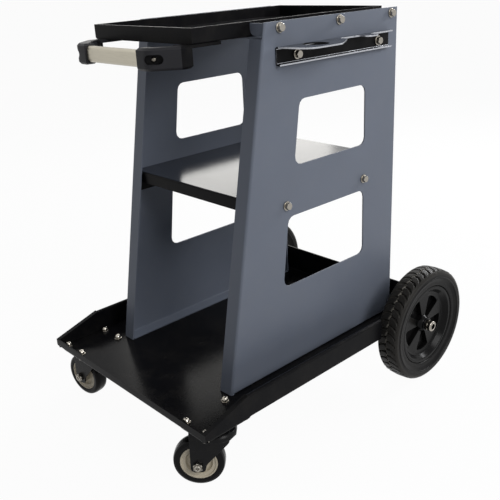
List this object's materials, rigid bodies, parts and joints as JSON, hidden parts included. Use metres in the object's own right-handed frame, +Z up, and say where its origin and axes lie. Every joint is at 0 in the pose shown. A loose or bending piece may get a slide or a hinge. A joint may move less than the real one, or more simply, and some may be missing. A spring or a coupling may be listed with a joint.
{
  "type": "welding cart",
  "caption": "Rolling workshop cart of folded sheet steel with a top tray for a welding machine, a shelf, a base deck, a push handle, a torch holder, fixed rear wheels and swivel casters.",
  "frame": {"origin": "on the floor, under the centre of the cart's box", "axes": "+Z up; the front with the casters and the handle towards -Y; the torch holder on the +X side"},
  "size_m": [0.455, 0.5896, 0.627],
  "materials": {
    "grey_paint": "semi-gloss blue-grey powder coat",
    "black_paint": "glossy black powder coat",
    "black_steel": "semi-gloss black coat",
    "zinc_steel": "yellowish zinc plating",
    "grip_metal": "satin, pale beige-grey",
    "tyre": "matt black rubber, dusty on the tread",
    "caster_tyre": "smooth semi-gloss black",
    "hub_plastic": "semi-gloss charcoal moulding",
    "handle_plastic": "fine-grained charcoal moulding",
    "caster_core": "ivory moulding",
    "bush_plastic": "pale plain bearing"
  },
  "bodies": {
    "chassis": {"base_pan": "black_paint", "handle_grip": "grip_metal", "left_axle_bracket": "black_steel", "left_caster_kingpin": "zinc_steel", "left_caster_plate": "black_steel", "left_caster_race": "zinc_steel", "left_handle_bolt": "zinc_steel", "left_handle_bracket": "handle_plastic", "left_shelf_bolt_1": "zinc_steel", "left_shelf_bolt_2": "zinc_steel", "left_side_panel": "grey_paint", "left_top_bolt_1": "zinc_steel", "left_top_bolt_2": "zinc_steel", "left_top_bolt_3": "zinc_steel", "left_top_rail": "grey_paint", "left_wheel_axle_nut": "zinc_steel", "left_wheel_inner_washer": "zinc_steel", "left_wheel_outer_washer": "zinc_steel", "middle_shelf": "black_paint", "rear_axle": "zinc_steel", "right_axle_bracket": "black_steel", "right_caster_kingpin": "zinc_steel", "right_caster_plate": "black_steel", "right_caster_race": "zinc_steel", "right_handle_bolt": "zinc_steel", "right_handle_bracket": "handle_plastic", "right_shelf_bolt_1": "zinc_steel", "right_shelf_bolt_2": "zinc_steel", "right_side_panel": "grey_paint", "right_top_bolt_1": "zinc_steel", "right_top_bolt_2": "zinc_steel", "right_top_bolt_3": "zinc_steel", "right_top_rail": "grey_paint", "right_wheel_axle_nut": "zinc_steel", "right_wheel_inner_washer": "zinc_steel", "right_wheel_outer_washer": "zinc_steel", "top_tray": "black_paint", "torch_bolt_1": "zinc_steel", "torch_bolt_2": "zinc_steel", "torch_holder": "black_paint"},
    "right_wheel": {"right_wheel_bush": "bush_plastic", "right_wheel_hub": "hub_plastic", "right_wheel_tyre": "tyre"},
    "left_wheel": {"left_wheel_bush": "bush_plastic", "left_wheel_hub": "hub_plastic", "left_wheel_tyre": "tyre"},
    "right_swivel": {"right_caster_axle_bolt": "zinc_steel", "right_caster_axle_nut": "zinc_steel", "right_caster_fork": "black_steel"},
    "left_swivel": {"left_caster_axle_bolt": "zinc_steel", "left_caster_axle_nut": "zinc_steel", "left_caster_fork": "black_steel"},
    "right_caster_wheel": {"right_caster_bush": "zinc_steel", "right_caster_core": "caster_core", "right_caster_tyre": "caster_tyre"},
    "left_caster_wheel": {"left_caster_bush": "zinc_steel", "left_caster_core": "caster_core", "left_caster_tyre": "caster_tyre"}
  },
  "joints": [
    {"name": "right_wheel_spin", "type": "hinge", "parent": "chassis", "child": "right_wheel", "pos_m": [0.201, 0.19485, 0.1], "axis": [1, 0, 0], "continuous": true},
    {"name": "left_wheel_spin", "type": "hinge", "parent": "chassis", "child": "left_wheel", "pos_m": [-0.201, 0.19485, 0.1], "axis": [1, 0, 0], "continuous": true},
    {"name": "right_caster_swivel", "type": "hinge", "parent": "chassis", "child": "right_swivel", "pos_m": [0.1615, -0.2439, 0.09], "axis": [0, 0, 1], "continuous": true},
    {"name": "right_caster_roll", "type": "hinge", "parent": "right_swivel", "child": "right_caster_wheel", "pos_m": [0.14102, -0.263, 0.038], "axis": [0.682, -0.7314, 0], "continuous": true},
    {"name": "left_caster_swivel", "type": "hinge", "parent": "chassis", "child": "left_swivel", "pos_m": [-0.1615, -0.2439, 0.09], "axis": [0, 0, 1], "continuous": true},
    {"name": "left_caster_roll", "type": "hinge", "parent": "left_swivel", "child": "left_caster_wheel", "pos_m": [-0.18915, -0.24828, 0.038], "axis": [0.1564, -0.9877, 0], "continuous": true}
  ]
}
